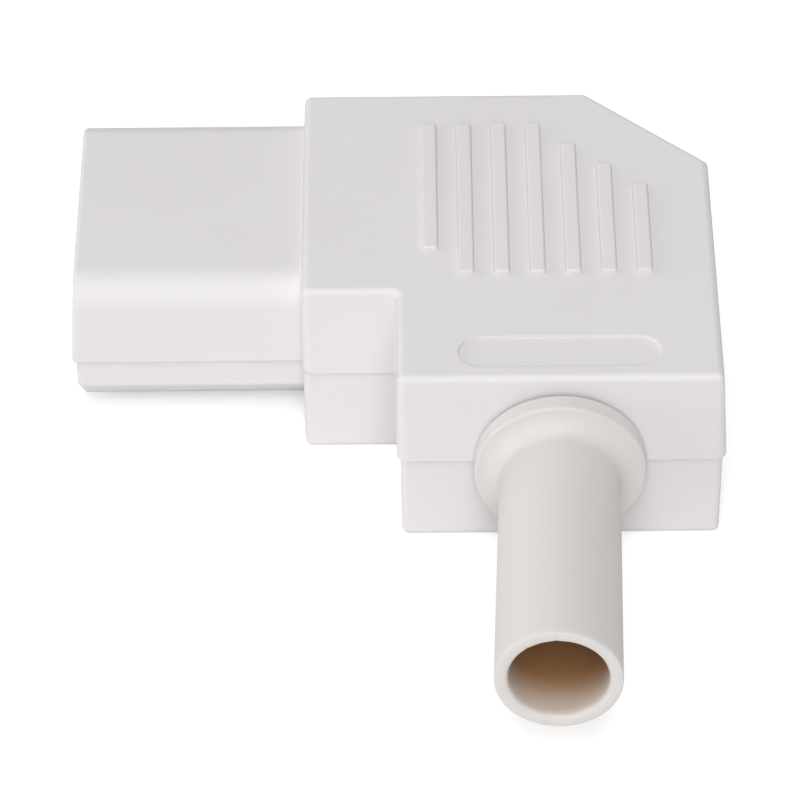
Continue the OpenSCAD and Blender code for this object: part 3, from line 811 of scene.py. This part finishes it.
@dataclass
class PinCarrier(MouldedPart):
    """The insert that closes the nose and holds the three contacts behind its slots."""

    front_mm: float = 19.0
    on_face_mm: float = 0.01
    slot_round_mm: float = 0.25
    edge_round_mm: float = 0.15
    # The slots lie within these half sizes of the front face, and its outline lies outside them.
    slots_y_mm: float = 9.0
    slots_z_mm: float = 4.6

    def on_front(self, a: Vector, b: Vector) -> bool:
        """Say whether an edge lies on the front face."""
        return max(a.x, b.x) < -self.front_mm + self.on_face_mm

    def on_slot(self, a: Vector, b: Vector) -> bool:
        """Say whether an edge is on the mouth of a slot."""
        return (self.on_front(a, b) and max(abs(a.y), abs(b.y)) < self.slots_y_mm
                and max(abs(a.z), abs(b.z)) < self.slots_z_mm)

    def on_outline(self, a: Vector, b: Vector) -> bool:
        """Say whether an edge is on the front face's outline."""
        return self.on_front(a, b) and (max(abs(a.y), abs(b.y)) > self.slots_y_mm
                                        or max(abs(a.z), abs(b.z)) > self.slots_z_mm)

    def build(self, material: bpy.types.Material) -> bpy.types.Object:
        """Build the carrier, with lead-ins round its slots.

        Args:
            material: The finish.

        Returns:
            The piece.
        """
        work = self.solid()
        self.round_edges(work, self.slot_round_mm, 3, self.on_slot)
        self.round_edges(work, self.edge_round_mm, 2, self.on_outline)
        return self.finish(work, material)


@dataclass
class MetalParts:
    """Contacts, wire saddles, screws and nuts, which keep their solids."""

    brass: tuple[str, ...] = ("contact_line", "contact_neutral", "contact_earth")

    def dress(self, brass: bpy.types.Material, steel: bpy.types.Material) -> None:
        """Give the contacts brass and the rest plated steel.

        Args:
            brass: The contacts' finish.
            steel: The finish of all other metal parts.
        """
        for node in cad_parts:
            if node in self.brass:
                dress_node(node, brass)
            elif "screw" in node or "nut" in node or "saddle" in node:
                dress_node(node, steel)


# Camera and studio

@dataclass
class Viewpoint:
    """The camera: far off with a long lens, facing the cord's side and looking down on the top face."""

    elevation: float = 40.912
    azimuth: float = 0.227
    roll: float = 0.645
    distance_mm: float = 416.66
    target_mm: tuple[float, float, float] = (8.187, -17.152, 0.0)
    lens_mm: float = 225.0

    def build(self) -> bpy.types.Object:
        """Make the scene's camera."""
        e, a, r = (math.radians(v) for v in (self.elevation, self.azimuth, self.roll))
        back = Vector((math.sin(a) * math.cos(e), -math.cos(a) * math.cos(e), math.sin(e)))
        right = Vector((0, 0, 1)).cross(back).normalized()
        up = back.cross(right)
        across = right * math.cos(r) - up * math.sin(r)
        upward = up * math.cos(r) + right * math.sin(r)
        lens = bpy.data.cameras.new("camera")
        lens.lens = self.lens_mm
        lens.sensor_width = 36.0
        lens.clip_start = 0.01
        camera = bpy.data.objects.new("camera", lens)
        bpy.context.scene.collection.objects.link(camera)
        turn = Matrix((across, upward, back)).transposed().to_4x4()
        place = (Vector(self.target_mm) + back * self.distance_mm) * MM
        camera.matrix_world = Matrix.Translation(place) @ turn
        bpy.context.scene.camera = camera
        return camera


@dataclass(frozen=True)
class Softbox:
    """A round soft lamp that looks at the object."""

    name: str
    azimuth: float
    elevation: float
    distance: float
    size: float
    power: float

    def hang(self) -> bpy.types.Object:
        """Hang the lamp. Azimuth 0 is the cord's side and 90 is the side away from the nose."""
        a, e = math.radians(self.azimuth), math.radians(self.elevation)
        place = Vector((math.sin(a) * math.cos(e), -math.cos(a) * math.cos(e), math.sin(e))) * self.distance
        lamp = bpy.data.lights.new(self.name, "AREA")
        lamp.shape, lamp.size, lamp.energy = "DISK", self.size, self.power
        holder = bpy.data.objects.new(self.name, lamp)
        holder.location = place
        holder.rotation_euler = (-place).to_track_quat("-Z", "Y").to_euler()
        bpy.context.scene.collection.objects.link(holder)
        return holder


@dataclass
class Studio:
    """A white floor, an even white surround and soft lamps round the object."""

    floor_size: float = 6.0
    floor_colour: str = "F4F4F4"
    floor_glow: float = 0.35
    surround: float = 0.32
    lamps: list[Softbox] = field(default_factory=lambda: [
        Softbox("left_low_softbox", -80, 8, 1.0, 0.5, 2.85),
        Softbox("front_low_softbox", 0, 8, 1.0, 0.5, 1.1),
        Softbox("front_softbox", 0, 35, 1.0, 0.5, 2.3),
        Softbox("front_high_softbox", 0, 62, 1.0, 0.5, 3.0),
        Softbox("overhead_softbox", 0, 88, 1.0, 0.7, 1.25),
        Softbox("rear_softbox", 180, 45, 1.0, 0.6, 0.6),
        Softbox("rear_left_softbox", -130, 25, 1.0, 0.5, 1.15),
    ])

    def floor(self) -> bpy.types.Object:
        """Lay the floor under the object. Its glow, which only the camera sees, makes it white."""
        size = self.floor_size / 2
        z = CAD_BOX[0][2]
        mesh = bpy.data.meshes.new("studio_floor")
        corners = [(-size, -size, z), (size, -size, z), (size, size, z), (-size, size, z)]
        mesh.from_pydata(corners, [], [(0, 1, 2, 3)])
        floor = link_object("studio_floor", mesh)
        material, tree, _ = new_material("white_paper_floor")
        paper = add_node(tree, "ShaderNodeBsdfDiffuse", {"Color": linear(self.floor_colour)})
        glow = add_node(tree, "ShaderNodeEmission", {"Strength": self.floor_glow})
        seen = add_node(tree, "ShaderNodeLightPath")
        both = add_node(tree, "ShaderNodeAddShader", {0: paper.outputs["BSDF"], 1: glow.outputs["Emission"]})
        mixed = add_node(tree, "ShaderNodeMixShader",
                         {0: seen.outputs["Is Camera Ray"], 1: paper.outputs["BSDF"],
                          2: both.outputs["Shader"]})
        add_node(tree, "ShaderNodeOutputMaterial", {"Surface": mixed.outputs["Shader"]})
        mesh.materials.append(material)
        return floor

    def light(self) -> None:
        """Set the surround, which the camera sees as white, and hang the lamps."""
        world = bpy.data.worlds.new("white_surround")
        bpy.context.scene.world = world
        world.use_nodes = True
        tree = world.node_tree
        tree.nodes.clear()
        seen = add_node(tree, "ShaderNodeLightPath")
        lit = add_node(tree, "ShaderNodeBackground", {"Color": (1, 1, 1, 1), "Strength": self.surround})
        white = add_node(tree, "ShaderNodeBackground", {"Color": (1, 1, 1, 1), "Strength": 1.0})
        mixed = add_node(tree, "ShaderNodeMixShader",
                         {0: seen.outputs["Is Camera Ray"], 1: lit.outputs["Background"],
                          2: white.outputs["Background"]})
        add_node(tree, "ShaderNodeOutputWorld", {"Surface": mixed.outputs["Shader"]})
        for lamp in self.lamps:
            lamp.hang()


def main() -> None:
    """Build the scene, piece by piece."""
    logging.basicConfig(level=logging.INFO, format="%(name)s: %(message)s")
    bpy.context.scene.view_settings.view_transform = "Standard"
    shell = MouldedNylon("white_moulded_nylon", "DDD9DC", "E2DFE1").make()
    insert = MouldedNylon("natural_moulded_nylon", "DCDAD4", "E2E0DB").make()
    # The last colour is the painted shade further into the bore.
    rubber = SoftPvc("soft_moulded_pvc", "D8D4D1", "D8CDC2", "B98F66").make()
    brass = WorkedMetal("rolled_brass_strip", "C9A75A", "B99549", 0.34, Lay.ROLLED).make()
    steel = WorkedMetal("zinc_plated_steel", "B9BBBE", "A6A8AC", 0.38, Lay.TURNED).make()
    HousingShell(Half.UPPER.value, "upper_housing_moulding", half=Half.UPPER).build(shell)
    HousingShell(Half.LOWER.value, "lower_housing_moulding", half=Half.LOWER).build(shell)
    GripRibs().build(shell)
    CordSleeve().build(rubber)
    PinCarrier("contact_carrier", "pin_carrier_moulding", "carrier_white").build(insert)
    dress_node("cord_clamp_bar", insert)
    MetalParts().dress(brass, steel)
    Viewpoint().build()
    studio = Studio()
    studio.floor()
    studio.light()


if __name__ == "__main__":
    main()
